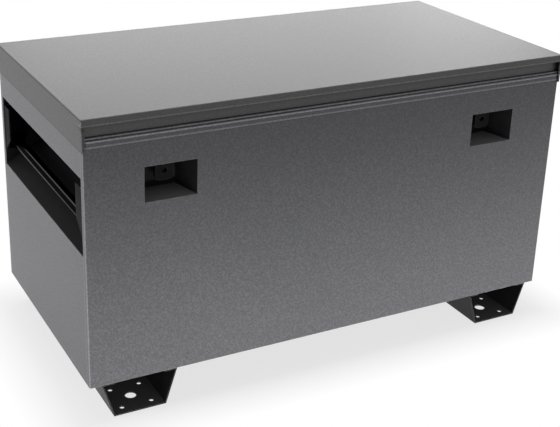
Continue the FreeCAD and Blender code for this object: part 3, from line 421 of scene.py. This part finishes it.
def polished_rod(name):
    """Hard chrome on a strut rod, with faint polishing marks."""
    s = new_material(name)
    marks = s.noise(900)
    return s.finish(
        Base_Color=s.blend(marks, (0.70, 0.71, 0.73, 1), (0.80, 0.80, 0.81, 1)),
        Roughness=s.spread(marks, *NOISE_RANGE, 0.07, 0.14),
        Metallic=1.0,
    )


def matt_rubber(name):
    """Closed-cell rubber, with fine pores."""
    s = new_material(name)
    pores = s.cells(1400, smooth=0.3)
    return s.finish(
        Base_Color=s.blend(s.spread(pores, 0.1, 0.6), grey(0.012), grey(0.03)),
        Roughness=s.spread(pores, 0.1, 0.7, 0.75, 0.92),
        Normal=s.bump(pores, 0.15 * MM, strength=0.5),
    )


body_paint = hammered_paint(
    "body_hammertone", BODY_LEVEL, tint=1.07, gloss=0.3, corner=BODY_CORNER, bends=BODY_BENDS)
lid_paint = hammered_paint(
    "lid_hammertone", LID_LEVEL, tint=1.0, gloss=0.5, corner=LID_CORNER, bends=LID_BENDS)
skirt_paint = hammered_paint(
    "skirt_hammertone", LID_LEVEL, tint=1.0, gloss=0.26, corner=LID_CORNER, bends=LID_BENDS)
recess_black = black_coat("recess_black", level=0.018, top_light=0.016, rough=(0.5, 0.62), gloss=0.02)
pocket_black = black_coat("pocket_black", level=0.034, top_light=0.42, rough=(0.45, 0.6), gloss=0.04)
bracket_black = black_coat("bracket_black", level=0.003, top_light=0.003, rough=(0.4, 0.5), gloss=0.02)
lock_black = black_coat("lock_black", level=0.012, top_light=0.012, rough=(0.4, 0.5), gloss=0.04)
skid_black = black_coat("skid_black", level=0.024, top_light=0.1, rough=(0.42, 0.52), gloss=0.15)
tube_black = gloss_black("tube_black")
zinc = zinc_plate("zinc_plate")
rod_chrome = polished_rod("rod_chrome")
rubber = matt_rubber("seal_rubber")

BY_SLOT = {
    "grey_paint": body_paint,
    "black_paint": recess_black,
    "zinc": zinc,
    "rod_steel": rod_chrome,
    "rubber": rubber,
}
BY_ENDING = (
    (("lid_panel", "lid_front_rail"), lid_paint),
    (("lid_skirt",), skirt_paint),
    (("handle_tube", "handle_collars", "strut_cylinder"), tube_black),
    (("handle_brackets",), bracket_black),
    (("lock_pocket",), pocket_black),
    (("lock_tongue", "lock_staple"), lock_black),
    (("skid",), skid_black),
)


def dress(piece, material):
    """Gives every slot of a piece one material."""
    if not piece.data.materials:
        piece.data.materials.append(material)
    for index in range(len(piece.data.materials)):
        piece.data.materials[index] = material


def finish_of(name, slot):
    """The finish of a piece of the frame, by its name's ending or by the slot that the record gives it."""
    return next((finish for endings, finish in BY_ENDING if name.endswith(endings)), BY_SLOT[slot])


def dress_nodes():
    """Finishes every piece of the frame."""
    for row in frame["record"]["subparts"]:
        dress(nodes[row["node"]], finish_of(row["node"], row["material_slot"]))


# ---------------------------------------------------------------- studio

FLOOR_RADIUS = 14
FLOOR_SEGMENTS = 96
# Level of the floor's own matt white, and of the light that comes from all round.
FLOOR_LEVEL = 0.86
AMBIENT_LEVEL = 0.15
# Half the length and width of the patch round the box that shows its shadow, and how far that fades out.
SHADOW_CORE = (0.62, 0.31, 0.0)
SHADOW_REACH = 0.12
# Share of the backdrop's white in the floor within that patch.
GLOW_UNDER_BOX = 0.73
# Watts to the square metre of a softbox that is as bright as white.
WHITE_WATTS = 4
# Each softbox: its name, place, the point it faces, width and height, brightness and spread in degrees.
SOFTBOXES = (
    ("overhead", (0.1, 0.6, 3.0), (0.1, 0.6, 0), (3.0, 2.0), 1.6, 180),
    ("left_side", (-3.2, 0.5, 1.3), (0, 0, 0.3), (2.0, 2.0), 2.15, 180),
    ("front_low", (0.0, -2.1, 0.13), (0, -0.3, -0.12), (2.4, 0.2), 3.15, 50),
    ("rear_sheen", (2.0, 3.8, 1.5), (0, 0, 0.7), (3.6, 1.2), 2.3, 180),
    ("rear_right", (3.4, 3.0, 1.5), (0, 0, 0.7), (1.6, 1.2), 0.84, 180),
)


def make_floor():
    """A pale floor that keeps the shadow near the box and runs into the white backdrop."""
    mesh = bpy.data.meshes.new("floor")
    shape = bmesh.new()
    bmesh.ops.create_circle(shape, cap_ends=True, segments=FLOOR_SEGMENTS, radius=FLOOR_RADIUS)
    shape.to_mesh(mesh)
    shape.free()
    floor = bpy.data.objects.new("floor", mesh)
    scene.collection.objects.link(floor)
    s = new_material("pale_floor")
    aside = s.vector("ABSOLUTE", s.place())["Vector"]
    beyond = s.vector("SUBTRACT", aside, SHADOW_CORE)["Vector"]
    outside = s.vector("MAXIMUM", beyond, (0.0, 0.0, 0.0))["Vector"]
    distance = s.vector("LENGTH", outside)["Value"]
    glow = s.spread(distance, 0.0, SHADOW_REACH, GLOW_UNDER_BOX, 1.0)
    matt = s.add("ShaderNodeBsdfDiffuse", Color=grey(FLOOR_LEVEL))
    white = s.add("ShaderNodeEmission", Color=grey(1.0), Strength=1.0)
    s.finish_mixed("ShaderNodeOutputMaterial", s.both(glow, s.seen()), matt, white)
    dress(floor, s.owner)


def make_world():
    """White to the eye and to glossy surfaces, and a plain grey level to everything it lights."""
    scene.world = bpy.data.worlds.new("studio")
    s = Shader(scene.world)
    light = s.add("ShaderNodeBackground", Color=grey(AMBIENT_LEVEL))
    backdrop = s.add("ShaderNodeBackground", Color=grey(1.0))
    s.finish_mixed("ShaderNodeOutputWorld", s.seen(), light, backdrop)


def make_softbox(name, place, target, size, brightness, spread):
    """A rectangular soft light that faces a point, unseen by the camera; 1 is as bright as white."""
    data = bpy.data.lights.new(name, "AREA")
    data.shape = "RECTANGLE"
    data.size, data.size_y = size
    data.energy = brightness * WHITE_WATTS * size[0] * size[1]
    data.spread = math.radians(spread)
    light = bpy.data.objects.new(name, data)
    scene.collection.objects.link(light)
    light.location = place
    light.rotation_euler = (Vector(target) - Vector(place)).to_track_quat("-Z", "Y").to_euler()
    light.visible_camera = False


# ---------------------------------------------------------------- the scene

scene.view_settings.view_transform = "Standard"
make_camera()
make_world()
make_floor()
for softbox in SOFTBOXES:
    make_softbox(*softbox)
dress_nodes()
